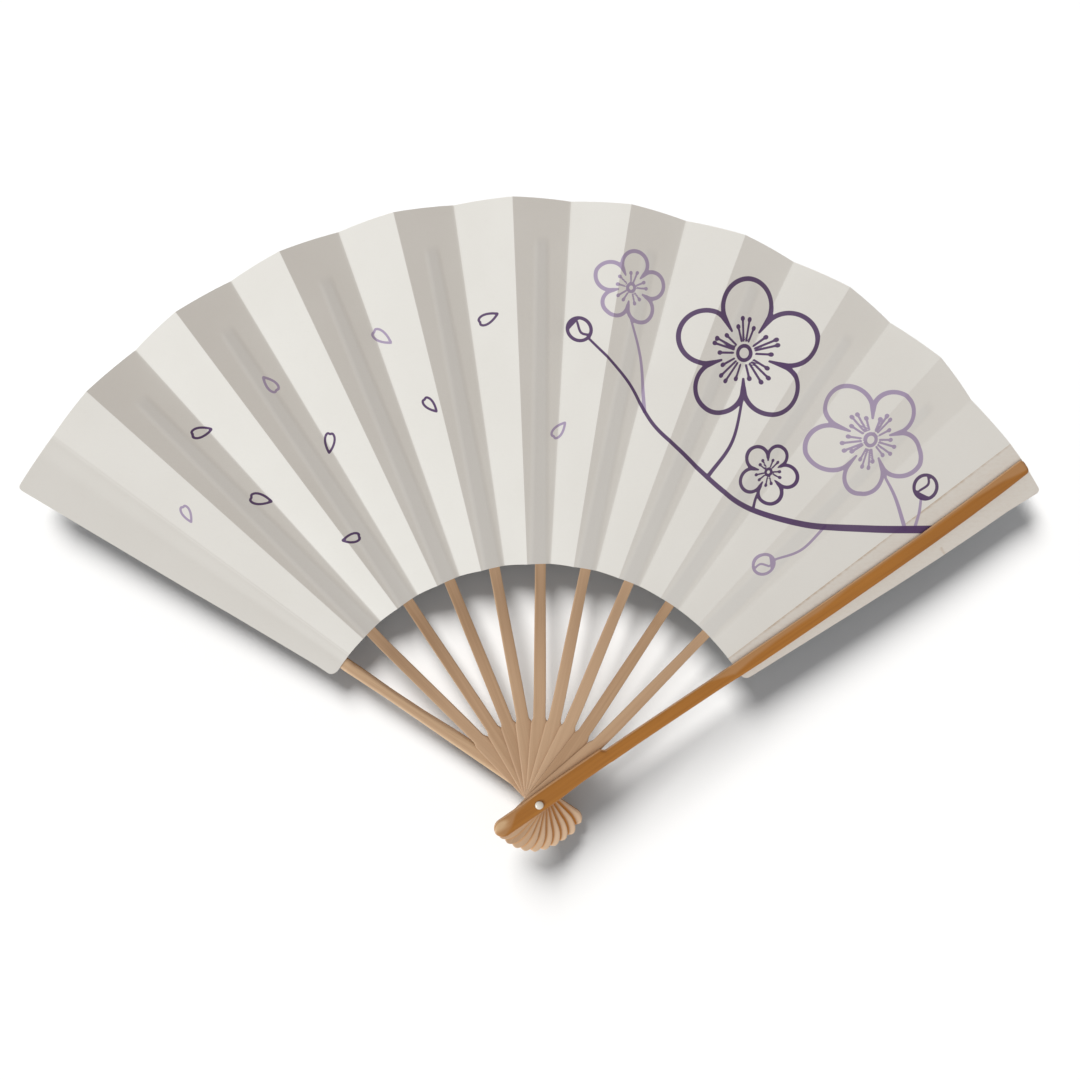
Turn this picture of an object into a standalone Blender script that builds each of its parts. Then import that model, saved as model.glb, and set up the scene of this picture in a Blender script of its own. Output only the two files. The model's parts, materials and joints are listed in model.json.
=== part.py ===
"""A folding hand fan, lying open and flat on its rear guard.

The rivet's axis is Z and the open fan's line of symmetry is +Y. Lengths are in metres, and the origin is
the centre of the rivet's flat rear end, the lowest face of the fan. Eleven sticks turn on the rivet, one
above the other. The paper leaf is 21 flat panels: one on each stick, and a free one between each two.
"""

import math

import bmesh
import bpy
from mathutils import Matrix, Vector

# The fan as a whole
STICK_COUNT = 11
OPEN_ANGLE = math.radians(110.7)
STICK_PITCH = 0.0015
TURNING_GAP = 0.0003
GLUE_GAP = 0.00015

# The leaf
LEAF_INNER = 0.1015
LEAF_OUTER = 0.253
LEAF_THICKNESS = 0.0003
PLEAT_TILT = math.radians(22)
FREE_PANEL_THICKNESS = 0.00025
POCKET_CLEARANCE = 0.00006
POCKET_FLANK = 0.0008
POCKET_WALL = 0.0003

# The slips, the thin ends of the ribs inside the leaf
SLIP_INSET = 0.0155
SLIP_THICKNESS = 0.0004
SLIP_TIP_WIDTH = 0.0032
SLIP_GAP = 0.0003

# The heads of all the sticks, on both sides of the rivet
HEAD_REACH = 0.0215
HEAD_WIDTH = 0.0089
HEAD_CORNER = 0.0034
HEAD_SHIFT = 0.0008
CORNER_STEPS = 5

# The ribs between the head and the leaf
SHOULDER_START = 0.0345
SHOULDER_END = 0.0365
SHOULDER_WIDTH = 0.0070
BLADE_WIDTH = 0.0057
BLADE_LEAF_WIDTH = 0.0049
BLADE_LEAF_THICKNESS = 0.0009

# The guards, the two outer sticks
GUARD_REACH = 0.2525
GUARD_THICKNESS = 0.0027
GUARD_WAIST = 0.052
GUARD_WAIST_WIDTH = 0.0057
GUARD_MIDDLE = 0.165
GUARD_MIDDLE_WIDTH = 0.0063
GUARD_TIP_WIDTH = 0.0052
GUARD_BEVEL = 0.0006
REAR_HEAD_WIDTH = 0.0106
GUARD_STEP = 0.002
SHIFT_END = 0.092

# The rivet
PIN_RADIUS = 0.0013
PIN_CLEARANCE = 0.00025
RIVET_HEAD_RADIUS = 0.0019
RIVET_DOME = 0.0009
REAR_HEAD_HEIGHT = 0.0005
ROUND_STEPS = 32
SHARP_ANGLE = math.radians(35)

# What follows from these sizes. A panel is two plies thick, so one ply is half of its thickness.
GAP_ANGLE = OPEN_ANGLE / (STICK_COUNT - 1)
HALF_PLEAT = math.atan(math.tan(GAP_ANGLE / 4) / math.cos(PLEAT_TILT))
LAST = STICK_COUNT - 1
PLY = LEAF_THICKNESS / 2
PANEL_CENTRE = PLY + POCKET_CLEARANCE + SLIP_THICKNESS / 2
SLIP_REACH = LEAF_OUTER - SLIP_INSET
RIB_THICKNESS = STICK_PITCH - TURNING_GAP
HOLE_RADIUS = PIN_RADIUS + PIN_CLEARANCE
GUARD_BOTTOM = REAR_HEAD_HEIGHT + TURNING_GAP
GUARD_INNER_FACE = PLY + GLUE_GAP
GUARD_OUTER_FACE = GUARD_INNER_FACE + GUARD_THICKNESS
FIRST_STICK_Z = GUARD_BOTTOM + GUARD_OUTER_FACE


def stick_angle(k):
    """Direction of stick k seen from above: the rear guard is 0, on the left."""
    return math.pi / 2 + OPEN_ANGLE / 2 - k * GAP_ANGLE


def stick_z(k):
    return FIRST_STICK_Z + k * STICK_PITCH


def clear_scene():
    for obj in list(bpy.data.objects):
        bpy.data.objects.remove(obj, do_unlink=True)


def material(name, colour, roughness):
    made = bpy.data.materials.new(name)
    made.use_nodes = True
    shader = made.node_tree.nodes["Principled BSDF"]
    shader.inputs["Base Color"].default_value = (*colour, 1)
    shader.inputs["Roughness"].default_value = roughness
    shader.inputs["Metallic"].default_value = 0
    made.diffuse_color = (*colour, 1)
    return made


def mesh_of(name, points, faces):
    mesh = bpy.data.meshes.new(name)
    mesh.from_pydata([tuple(point) for point in points], [], faces)
    shape = bmesh.new()
    shape.from_mesh(mesh)
    bmesh.ops.recalc_face_normals(shape, faces=shape.faces)
    shape.to_mesh(mesh)
    shape.free()
    return mesh


def loft(name, sections):
    """A closed body through sections of equally many (x, y, z) points each, with flat ends."""
    count = len(sections[0])
    points = [point for section in sections for point in section]
    faces = [list(range(count)), list(range(len(points) - count, len(points)))]
    for start in range(0, len(points) - count, count):
        for i in range(count):
            j = (i + 1) % count
            faces.append([start + i, start + j, start + count + j, start + count + i])
    return mesh_of(name, points, faces)


def rectangle(x, side, half, low, high):
    """A section across a stick at x, centred on y = side."""
    return [(x, side - half, low), (x, side + half, low), (x, side + half, high), (x, side - half, high)]


def place(name, mesh, finish, matrix):
    obj = bpy.data.objects.new(name, mesh)
    bpy.context.scene.collection.objects.link(obj)
    obj.matrix_world = matrix
    if finish:
        mesh.materials.clear()
        mesh.materials.append(finish)
    return obj


def cut(obj, cutter):
    cutter.hide_render = True
    cutter.display_type = "WIRE"
    modifier = obj.modifiers.new("cut", "BOOLEAN")
    modifier.operation = "DIFFERENCE"
    modifier.solver = "EXACT"
    modifier.object = cutter


def between(knots, x):
    """Straight-line interpolation in a list of (x, value)."""
    if x <= knots[0][0]:
        return knots[0][1]
    for (x0, v0), (x1, v1) in zip(knots, knots[1:]):
        if x <= x1:
            return v0 + (v1 - v0) * (x - x0) / (x1 - x0)
    return knots[-1][1]


def butt_stations(reach, corner):
    """Distances along the stick at which the rounded butt end is cut, from the end inwards."""
    turns = [math.pi / 2 * i / CORNER_STEPS for i in range(CORNER_STEPS + 1)]
    return [-reach + corner * (1 - math.cos(turn)) for turn in turns]


def rounding(x, reach, corner):
    """How much the butt's round corners take off each side of the head at x."""
    inside = corner - (x + reach)
    return corner - math.sqrt(corner**2 - inside**2) if inside > 0 else 0.0


def stick_matrix(k):
    return Matrix.Translation((0, 0, stick_z(k))) @ Matrix.Rotation(stick_angle(k), 4, "Z")


def rib_mesh():
    """Head, shoulder and blade of an inner stick, flat, up to the leaf."""
    end = LEAF_INNER - SLIP_GAP / 2
    widths = [
        (0, HEAD_WIDTH),
        (SHOULDER_START, SHOULDER_WIDTH),
        (SHOULDER_END, BLADE_WIDTH),
        (end, BLADE_LEAF_WIDTH),
    ]
    thickness = [(SHOULDER_END, RIB_THICKNESS), (end, BLADE_LEAF_THICKNESS)]
    shift = [(SHOULDER_END, HEAD_SHIFT), (end, 0)]
    stations = butt_stations(HEAD_REACH, HEAD_CORNER) + [x for x, _ in widths]
    sections = []
    for x in stations:
        half = between(widths, x) / 2 - rounding(x, HEAD_REACH, HEAD_CORNER)
        up = between(thickness, x) / 2
        sections.append(rectangle(x, between(shift, x), half, -up, up))
    return loft("rib", sections)


def guard_mesh(name, head_width, head_shift):
    """An outer stick with its outer face up, bevelled, and its inner face stepped up to take the leaf."""
    step_start = LEAF_INNER - GUARD_STEP
    step_end = LEAF_INNER - TURNING_GAP
    widths = [
        (0, head_width),
        (GUARD_WAIST, GUARD_WAIST_WIDTH),
        (GUARD_MIDDLE, GUARD_MIDDLE_WIDTH),
        (GUARD_REACH, GUARD_TIP_WIDTH),
    ]
    inner = [(step_start, -RIB_THICKNESS / 2), (step_end, GUARD_INNER_FACE)]
    shift = [(GUARD_WAIST, head_shift), (SHIFT_END, 0)]
    stations = butt_stations(HEAD_REACH, HEAD_CORNER) + [x for x, _ in widths]
    stations = sorted(stations + [step_start, step_end, SHIFT_END])
    crown = GUARD_OUTER_FACE - GUARD_BEVEL
    sections = []
    for x in stations:
        half = between(widths, x) / 2 - rounding(x, HEAD_REACH, HEAD_CORNER)
        side = between(shift, x)
        low_right, low_left, left, right = rectangle(x, side, half, between(inner, x), crown)
        top_left = (x, side + half - GUARD_BEVEL, GUARD_OUTER_FACE)
        top_right = (x, side - half + GUARD_BEVEL, GUARD_OUTER_FACE)
        sections.append([low_right, low_left, left, top_left, top_right, right])
    return loft(name, sections)


def slip_half(x):
    return between([(LEAF_INNER, BLADE_LEAF_WIDTH / 2), (SLIP_REACH, SLIP_TIP_WIDTH / 2)], x)


def slip_mesh():
    """The thin end of a rib, in the plane of its panel."""
    start = LEAF_INNER * math.cos(HALF_PLEAT) + SLIP_GAP / 2
    up = SLIP_THICKNESS / 2
    return loft("slip", [rectangle(x, 0, slip_half(x), -up, up) for x in (start, SLIP_REACH)])


def pocket_mesh():
    """The cutter for the space inside a stick's panel, open towards the rivet."""
    start = LEAF_INNER * math.cos(HALF_PLEAT) - POCKET_WALL
    end = SLIP_REACH + POCKET_CLEARANCE
    up = SLIP_THICKNESS / 2 + POCKET_CLEARANCE
    return loft("pocket", [rectangle(x, 0, slip_half(x) + POCKET_CLEARANCE, -up, up) for x in (start, end)])


def stick_panel_mesh():
    """A panel glued over both faces of a slip: flat at the folds, thicker along the middle."""
    closed = SLIP_REACH + POCKET_CLEARANCE + POCKET_WALL
    stations = [
        (LEAF_INNER * math.cos(HALF_PLEAT), PANEL_CENTRE),
        (closed, PANEL_CENTRE),
        (closed + POCKET_FLANK, PLY),
        (LEAF_OUTER * math.cos(HALF_PLEAT), PLY),
    ]
    sections = []
    for x, centre in stations:
        edge = x * math.tan(HALF_PLEAT)
        ridge = slip_half(x) + POCKET_CLEARANCE + POCKET_WALL
        foot = ridge + POCKET_FLANK
        left = [(edge, PLY), (foot, PLY), (ridge, centre)]
        upper = left + [(-y, z) for y, z in reversed(left)]
        lower = [(y, -z) for y, z in reversed(upper)]
        sections.append([(x, y, z) for y, z in upper + lower])
    return loft("stick_panel", sections)


def sector_mesh(name, angle, start, thickness):
    """A flat panel whose two folds run from the origin at start and start + angle from the X axis."""
    corners = [
        (radius * math.cos(turn), radius * math.sin(turn))
        for radius, turn in (
            (LEAF_INNER, start),
            (LEAF_OUTER, start),
            (LEAF_OUTER, start + angle),
            (LEAF_INNER, start + angle),
        )
    ]
    layers = [[(x, y, z) for x, y in corners] for z in (-thickness / 2, thickness / 2)]
    return loft(name, layers)


def is_guard(k):
    return k in (0, LAST)


def panel_matrix(k):
    """Frame of stick k's panel: X along the stick, Z its upper normal. A guard's panel lies flat."""
    tilt = 0.0 if is_guard(k) else PLEAT_TILT
    return stick_matrix(k) @ Matrix.Rotation(tilt, 4, "X")


def fold_direction(k, side):
    """World direction of the fold on the left (+1) or right (-1) of stick k's panel."""
    half = GAP_ANGLE / 4 if is_guard(k) else HALF_PLEAT
    in_panel = Vector((math.cos(half), side * math.sin(half), 0))
    return (panel_matrix(k).to_3x3() @ in_panel).normalized()


def free_panel_frame(k):
    """Frame and angle of the panel between sticks k and k + 1: X is its valley fold, Z its upper normal."""
    valley = fold_direction(k, -1)
    mountain = fold_direction(k + 1, 1)
    upper = mountain.cross(valley).normalized()
    across = upper.cross(valley)
    panel = panel_matrix(k)
    apex = panel.translation + panel.col[2].xyz * (STICK_PITCH / 2)
    rows = Matrix((valley, across, upper)).transposed().to_4x4()
    return Matrix.Translation(apex) @ rows, valley.angle(mountain)


def turned_mesh(name, profile):
    """A closed body turned about Z from (radius, z) points, first and last on the axis or closing a ring."""
    solid = profile[0][0] == 0
    rings = profile[1:-1] if solid else profile
    turns = [2 * math.pi * i / ROUND_STEPS for i in range(ROUND_STEPS)]
    points = [(r * math.cos(turn), r * math.sin(turn), z) for r, z in rings for turn in turns]
    faces = []
    pairs = len(rings) - 1 if solid else len(rings)
    for ring in range(pairs):
        low = ring * ROUND_STEPS
        high = (ring + 1) % len(rings) * ROUND_STEPS
        for i in range(ROUND_STEPS):
            j = (i + 1) % ROUND_STEPS
            faces.append([low + i, low + j, high + j, high + i])
    if solid:
        faces.append(list(range(ROUND_STEPS)))
        faces.append(list(range(len(points) - ROUND_STEPS, len(points))))
    mesh = mesh_of(name, points, faces)
    mesh.shade_smooth()
    mesh.set_sharp_from_angle(angle=SHARP_ANGLE)
    return mesh


def make_rivet(ivory):
    """The pin with its domed front head in one, and the collar clenched on its rear end."""
    seat = stick_z(LAST) + GUARD_OUTER_FACE + TURNING_GAP
    arc = [math.pi / 2 * i / CORNER_STEPS for i in range(CORNER_STEPS)]
    dome = [(RIVET_HEAD_RADIUS * math.cos(turn), seat + RIVET_DOME * math.sin(turn)) for turn in arc]
    pin = [(0, 0), (PIN_RADIUS, 0), (PIN_RADIUS, seat)] + dome + [(0, seat + RIVET_DOME)]
    place("rivet_pin", turned_mesh("rivet_pin", pin), ivory, Matrix())
    collar = [
        (HOLE_RADIUS, 0),
        (RIVET_HEAD_RADIUS, 0),
        (RIVET_HEAD_RADIUS, REAR_HEAD_HEIGHT),
        (HOLE_RADIUS, REAR_HEAD_HEIGHT),
    ]
    place("rivet_collar", turned_mesh("rivet_collar", collar), ivory, Matrix())


def hole_cutter():
    """The cutter for the pin's hole through all the sticks, longer than the stack at both ends."""
    end = 2 * stick_z(LAST)
    profile = [(0, -end), (HOLE_RADIUS, -end), (HOLE_RADIUS, end), (0, end)]
    return place("hole_cutter", turned_mesh("hole_cutter", profile), None, Matrix())


def make_guards(lacquer, paper, hole):
    """Each guard with the flat end panel that is glued to its inner face."""
    turned_over = Matrix.Rotation(math.pi, 4, "X")
    front_mesh = guard_mesh("front_guard", HEAD_WIDTH, HEAD_SHIFT)
    rear_mesh = guard_mesh("rear_guard", REAR_HEAD_WIDTH, 0)
    cut(place("front_guard", front_mesh, lacquer, stick_matrix(LAST)), hole)
    cut(place("rear_guard", rear_mesh, lacquer, stick_matrix(0) @ turned_over), hole)
    for name, k in (("leaf_rear_end_panel", 0), ("leaf_front_end_panel", LAST)):
        mesh = sector_mesh(name, GAP_ANGLE / 2, -GAP_ANGLE / 4, LEAF_THICKNESS)
        place(name, mesh, paper, stick_matrix(k))


def make_ribs(bamboo, hole):
    mesh = rib_mesh()
    for k in range(1, LAST):
        cut(place(f"rib_{k:02d}", mesh, bamboo, stick_matrix(k)), hole)


def make_stick_panels(paper, bamboo):
    """Each inner stick's panel with the slip inside it, both turned by the pleat's tilt."""
    panel_mesh = stick_panel_mesh()
    inside = pocket_mesh()
    slip = slip_mesh()
    for k in range(1, LAST):
        panel = place(f"leaf_stick_panel_{k:02d}", panel_mesh, paper, panel_matrix(k))
        cut(panel, place(f"pocket_cutter_{k:02d}", inside, None, panel_matrix(k)))
        place(f"rib_slip_{k:02d}", slip, bamboo, panel_matrix(k))


def make_free_panels(paper):
    """The panels between the sticks. Each has its origin on its valley fold's line, where it turns."""
    for k in range(LAST):
        frame, angle = free_panel_frame(k)
        name = f"leaf_free_panel_{k:02d}"
        place(name, sector_mesh(name, angle, -angle, FREE_PANEL_THICKNESS), paper, frame)


def main():
    clear_scene()
    bamboo = material("bamboo", (0.48, 0.29, 0.17), 0.45)
    lacquer = material("lacquered bamboo", (0.35, 0.15, 0.04), 0.3)
    paper = material("paper", (0.8, 0.79, 0.76), 0.85)
    ivory = material("ivory", (0.75, 0.72, 0.66), 0.35)
    hole = hole_cutter()
    make_rivet(ivory)
    make_guards(lacquer, paper, hole)
    make_ribs(bamboo, hole)
    make_stick_panels(paper, bamboo)
    make_free_panels(paper)


main()
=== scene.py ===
# %% [markdown]
# # An open folding fan
# The imported CAD part is the frame: it fixes where every stick and every fold lies, and how they move.
# This lesson dresses it. Each stick, each panel of the paper leaf and the rivet gets a finer surface of the
# same size, with its own material. The guards, the panels and the rivet ride on the bodies of the parts
# that they stand for.

import json
import math

import bpy
import numpy as np
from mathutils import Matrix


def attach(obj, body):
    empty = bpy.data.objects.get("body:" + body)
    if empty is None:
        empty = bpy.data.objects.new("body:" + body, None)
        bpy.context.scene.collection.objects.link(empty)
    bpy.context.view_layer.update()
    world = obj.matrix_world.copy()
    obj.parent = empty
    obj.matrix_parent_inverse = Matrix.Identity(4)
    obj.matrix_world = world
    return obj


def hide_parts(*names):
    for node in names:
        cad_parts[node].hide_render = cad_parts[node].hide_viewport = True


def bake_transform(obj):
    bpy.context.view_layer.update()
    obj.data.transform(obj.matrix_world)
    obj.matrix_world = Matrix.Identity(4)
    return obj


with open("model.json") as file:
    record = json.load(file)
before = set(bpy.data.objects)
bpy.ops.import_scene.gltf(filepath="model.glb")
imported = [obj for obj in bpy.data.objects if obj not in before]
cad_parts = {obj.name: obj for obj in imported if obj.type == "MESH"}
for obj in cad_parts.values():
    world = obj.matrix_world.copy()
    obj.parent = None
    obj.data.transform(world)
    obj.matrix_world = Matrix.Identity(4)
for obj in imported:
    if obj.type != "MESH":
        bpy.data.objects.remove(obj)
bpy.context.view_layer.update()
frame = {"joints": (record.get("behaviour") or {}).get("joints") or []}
joints = {joint["name"]: joint for joint in frame["joints"]}

# %% [markdown]
# ## The camera
# The photograph looks almost straight down from about half a metre, so the near folds are a little larger
# than the far ones. The place and the lens were found by matching the rivet, the tips of the sticks and the
# corners of the folds. A square image of 1080 pixels is assumed.

# %% Camera
IMAGE_SIDE = 1080
FOCAL_PIXELS = 1207
SENSOR_WIDTH = 36.0
CAMERA_PLACE = (-0.04063, 0.16085, 0.5177)
CAMERA_TURN = (-5.568, -4.571, 0.471)

camera_data = bpy.data.cameras.new("camera")
camera_data.sensor_width = SENSOR_WIDTH
camera_data.lens = FOCAL_PIXELS / IMAGE_SIDE * SENSOR_WIDTH
camera = bpy.data.objects.new("camera", camera_data)
camera.location = CAMERA_PLACE
camera.rotation_euler = [math.radians(angle) for angle in CAMERA_TURN]
bpy.context.scene.collection.objects.link(camera)
bpy.context.scene.camera = camera
print("lens in mm:", round(camera_data.lens, 2))

# %% [markdown]
# ## Where the sticks lie
# Eleven sticks share one pivot, each a little higher than the last. The joints of the frame give the angle
# that the fan opens to, the step in height and the tilt of the pleats, so nothing is measured twice.

# %% The frame of one stick
LAST = 10
OPEN = math.radians(joints["front_guard_pivot"]["range_deg"][1])
GAP = OPEN / LAST
PITCH = joints["rib_02_pivot"]["pos_m"][2] - joints["rib_01_pivot"]["pos_m"][2]
BASE = joints["rib_01_pivot"]["pos_m"][2] - PITCH
TILT = -math.radians(joints["stick_panel_01_twist"]["range_deg"][0])
HALF_PLEAT = math.atan(math.tan(GAP / 4) / math.cos(TILT))
UP = np.array([0.0, 0.0, 1.0])


def stick_frame(k):
    """Stick k's middle point at the rivet, and its unit vectors along, to the left and up.

    The angle from the X axis is 90 degrees plus half of the opening, less k gaps.
    """
    angle = math.pi / 2 + OPEN / 2 - k * GAP
    along = np.array([math.cos(angle), math.sin(angle), 0.0])
    left = np.array([-math.sin(angle), math.cos(angle), 0.0])
    return (BASE + k * PITCH) * UP, along, left, UP


def is_guard(k):
    return k in (0, LAST)


print("opening:", round(math.degrees(OPEN), 1), "degrees; step:", round(1000 * PITCH, 2), "mm")

# %% [markdown]
# ## From numbers to a mesh
# A surface is a grid of points: one parameter runs along the piece, the other across or round it. The faces
# join each point to its neighbours, so they are worked out as whole arrays too. Only the few faces that
# close an end are listed one by one.

# %% Grids, meshes and ends


def grid_quads(rows, columns, ring=False, first=0):
    """Four-sided faces of a grid whose points are numbered row by row from first.

    Point (r, c) has the number first + r * columns + c. In a ring the last column meets the first.
    """
    r = np.arange(rows - 1)[:, None]
    c = np.arange(columns if ring else columns - 1)[None, :]
    here = first + r * columns + c
    beside = first + r * columns + (c + 1) % columns
    return np.stack([here, beside, beside + columns, here + columns], -1).reshape(-1, 4)


def new_piece(name, points, faces, smooth_below=40.0):
    """A mesh object in the scene from an (n, 3) array and a list of faces, smooth but for its sharp edges."""
    mesh = bpy.data.meshes.new(name)
    mesh.from_pydata(points.reshape(-1, 3).tolist(), [], faces)
    mesh.shade_smooth()
    mesh.set_sharp_from_angle(angle=math.radians(smooth_below))
    piece = bpy.data.objects.new(name, mesh)
    bpy.context.scene.collection.objects.link(piece)
    return piece


def add_attribute(piece, name, values):
    """One number for each point of the mesh, for a material to read."""
    layer = piece.data.attributes.new(name, "FLOAT", "POINT")
    layer.data.foreach_set("value", np.ascontiguousarray(values, np.float32).ravel())


def add_marks(piece, shape, **marks):
    """Several attributes, each spread over a grid of points of the given shape."""
    for name, values in marks.items():
        add_attribute(piece, name, np.broadcast_to(values, shape))


def add_uv(piece, per_point):
    """A UV map from one (u, v) pair for each point, copied to every corner of a face that uses the point."""
    corners = np.empty(len(piece.data.loops), np.int32)
    piece.data.loops.foreach_get("vertex_index", corners)
    layer = piece.data.uv_layers.new(name="along")
    flat = np.ascontiguousarray(per_point.reshape(-1, 2)[corners], np.float32)
    layer.data.foreach_set("uv", flat.ravel())


def smoothstep(low, high, x):
    """0 below low, 1 above high, and 3t^2 - 2t^3 between them, where t is the share of the way."""
    t = np.clip((x - low) / (high - low), 0, 1)
    return t * t * (3 - 2 * t)


print("a grid of 3 by 4 points has", len(grid_quads(3, 4)), "faces")

# %% [markdown]
# ## Shader maths as expressions
# A material is a small program. Written with Python's own signs it stays readable: an operator on a wrapped
# socket adds a Math node. Every other node comes from one method, which takes the node's type, its settings
# and the values or links of its sockets.

# %% A socket that can be reckoned with


class Number:
    """Wraps a socket. An operator adds one Math node, and the reflected forms let 1 - mask work."""

    def __init__(self, nodes, socket):
        self.nodes = nodes
        self.socket = socket

    def __add__(self, other):
        return self.nodes.maths("ADD", self, other)

    def __sub__(self, other):
        return self.nodes.maths("SUBTRACT", self, other)

    def __rsub__(self, other):
        return self.nodes.maths("SUBTRACT", other, self)

    def __mul__(self, other):
        return self.nodes.maths("MULTIPLY", self, other)

    __radd__ = __add__
    __rmul__ = __mul__


class Nodes:
    """A tree of shader nodes that grows by one method, node."""

    def __init__(self, tree):
        self.tree = tree

    def node(self, kind, settings, *values, out=0, **named):
        """Adds a node, applies its settings, fills its sockets in order or by name, and wraps one output."""
        made = self.tree.nodes.new("ShaderNode" + kind)
        for key, value in settings.items():
            setattr(made, key, value)
        pairs = [(made.inputs[i], value) for i, value in enumerate(values)]
        pairs += [(made.inputs[key.replace("_", " ")], value) for key, value in named.items()]
        for socket, value in pairs:
            if isinstance(value, Number):
                self.tree.links.new(value.socket, socket)
            elif value is not None:
                socket.default_value = value
        return Number(self, made.outputs[out])

    def maths(self, operation, *values):
        return self.node("Math", {"operation": operation}, *values)


# %% [markdown]
# ## A finish under construction
# A finish is one Principled shader and the nodes that feed it. The constants are set on the shader's own
# sockets. The methods below are the few things that a maker asks of a surface: where a point is, how wood or
# paper is clouded there, and how strongly one colour covers another.

# %% A finish


class Finish(Nodes):
    """A material with one Principled shader."""

    def __init__(self, name, roughness=0.5, **constants):
        self.material = bpy.data.materials.new(name)
        self.material.use_nodes = True
        super().__init__(self.material.node_tree)
        self.shader = self.tree.nodes["Principled BSDF"]
        self.shader.inputs["Roughness"].default_value = roughness
        for socket, value in constants.items():
            self.shader.inputs[socket.replace("_", " ")].default_value = value

    def place(self):
        return self.node("TexCoord", {}, out="Object")

    def along(self):
        return self.node("UVMap", {"uv_map": "along"})

    def attribute(self, name):
        return self.node("Attribute", {"attribute_name": name}, out="Fac")

    def stretched(self, where, scale, shift=(0.0, 0.0, 0.0)):
        return self.node("Mapping", {}, Vector=where, Scale=scale, Location=shift)

    def noise(self, where, scale, detail=3.0, roughness=0.5):
        return self.node("TexNoise", {}, Vector=where, Scale=scale, Detail=detail, Roughness=roughness)

    def step(self, value, low, high):
        """Rises smoothly from 0 at low to 1 at high. With low above high it falls."""
        settings = {"interpolation_type": "SMOOTHSTEP"}
        return self.node("MapRange", settings, value, low, high, 0.0, 1.0)

    def mix(self, share, first, second):
        """A colour: first where share is 0, second where it is 1.

        The node's first socket is the share. Five sockets for numbers and vectors come before its colours.
        """
        skipped = (None,) * 5
        wide = [colour if isinstance(colour, Number) else (*colour, 1.0) for colour in (first, second)]
        return self.node("Mix", {"data_type": "RGBA"}, share, *skipped, *wide, out=2)

    def surface(self, **sockets):
        for socket, value in sockets.items():
            self.tree.links.new(value.socket, self.shader.inputs[socket.replace("_", " ")])

    def bump(self, height, distance, strength=1.0):
        return self.node("Bump", {}, Strength=strength, Distance=distance, Height=height)


print("shader helpers ready")

# %% [markdown]
# ## Bamboo
# The ribs are split bamboo, planed and left bare. Bamboo has no rings: it shows fine, nearly straight
# fibres that run the whole length, a few darker than the rest, and broad pale and tan bands. The UV map
# gives the distance along and across the stick, so one noise, squeezed along the stick, draws the fibres
# at any angle of the stick. The amounts are small, because planed bamboo is even. Behind the rivet the
# heads are painted lighter, to lift them out of the shade of the sticks stacked over them, and a brown line
# runs along each next head's edge: partly a dirty seam, partly that head's shade, painted.

# %% Bare bamboo


def bamboo_colour(finish, pale, tan, dark, offset):
    """Mixes pale and tan by slow bands, then darkens thin fibres, all stretched along the stick.

    It returns the colour and the noise of the fibres, which the roughness and the bump use again.
    """
    where = finish.along()
    bands = finish.noise(finish.stretched(where, (9.0, 520.0, 1.0), (offset, offset, 0.0)), 1.0, 2.0)
    fibres = finish.noise(finish.stretched(where, (55.0, 4200.0, 1.0), (offset, 0.0, 0.0)), 1.0, 4.0, 0.65)
    ground = finish.mix(finish.step(bands, 0.35, 0.66), pale, tan)
    return finish.mix(finish.step(fibres, 0.53, 0.72) * 0.55, ground, dark), fibres


PALE, TAN, FIBRE = (0.515, 0.335, 0.20), (0.445, 0.275, 0.158), (0.31, 0.18, 0.09)
# The heads' second colour is painted light: paler, to lift them out of the shade of the stack over them.
LIGHT_RIB, HEAD_PAINTED_LIGHT_COLOUR = (0.66, 0.46, 0.30), (0.80, 0.58, 0.395)
# A brown for the line beside each next head: partly dirt, partly painted shade.
SEAM_DIRT_AND_SHADE = (0.78, 0.34, 0.07)


def dirt_and_shade_beside_next(finish):
    """A brown line along the edge of the next stick up: partly dirt, partly painted shade from that stick.

    It is 1 near the edge, and 0 from 1.45 mm outside it or 0.9 mm under it.
    """
    to_next = finish.attribute("to_next_mm")
    return finish.step(to_next, -1.45, -0.55) * finish.step(to_next, 0.9, 0.2)


def bare_bamboo():
    finish = Finish("bare bamboo", roughness=0.5, Specular_IOR_Level=0.3)
    colour, fibres = bamboo_colour(finish, PALE, TAN, FIBRE, 0.0)
    toned = finish.mix(finish.attribute("tone") * 0.55, colour, LIGHT_RIB)
    along = finish.attribute("along_mm")
    # Painted light: the heads behind the rivet are mixed towards a paler colour against the stack's shade.
    head = finish.step(along, 12.0, -8.0)
    heads_painted_light = finish.mix(head * finish.attribute("head_light"), toned, HEAD_PAINTED_LIGHT_COLOUR)
    # The line beside the next head: partly dirt, partly painted shade from that head.
    seam = dirt_and_shade_beside_next(finish) * finish.step(along, -2.0, -9.0)
    finish.surface(
        Base_Color=finish.mix(seam * finish.attribute("seam"), heads_painted_light, SEAM_DIRT_AND_SHADE),
        Roughness=0.42 + 0.2 * fibres,
        Normal=finish.bump(fibres, 0.00006, 0.5),
    )
    return finish.material


BAMBOO = bare_bamboo()
print("bare bamboo:", len(BAMBOO.node_tree.nodes), "nodes")

# %% [markdown]
# ## Lacquered bamboo
# The two guards are stained a warm brown and lacquered on their outer faces, and their inner faces are
# bare. Along one side wall the wood shows through. The attribute "outside" is 1 on the outer face, "side"
# runs from -1 to 1 across the stick, and "thin_stain" grows where handling has rubbed the stain thin: at
# the butt, beside the leaf's inner edge and towards the tip. One more attribute is 1 in the middle of a
# painted highlight, the pale spot where the butt's lacquer catches the light. Over the leaf's outer half the
# stain is a little deeper.

# %% Lacquered bamboo
STAIN, STAIN_DEEP, STAIN_FIBRE = (0.425, 0.173, 0.028), (0.375, 0.147, 0.022), (0.25, 0.09, 0.014)
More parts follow.
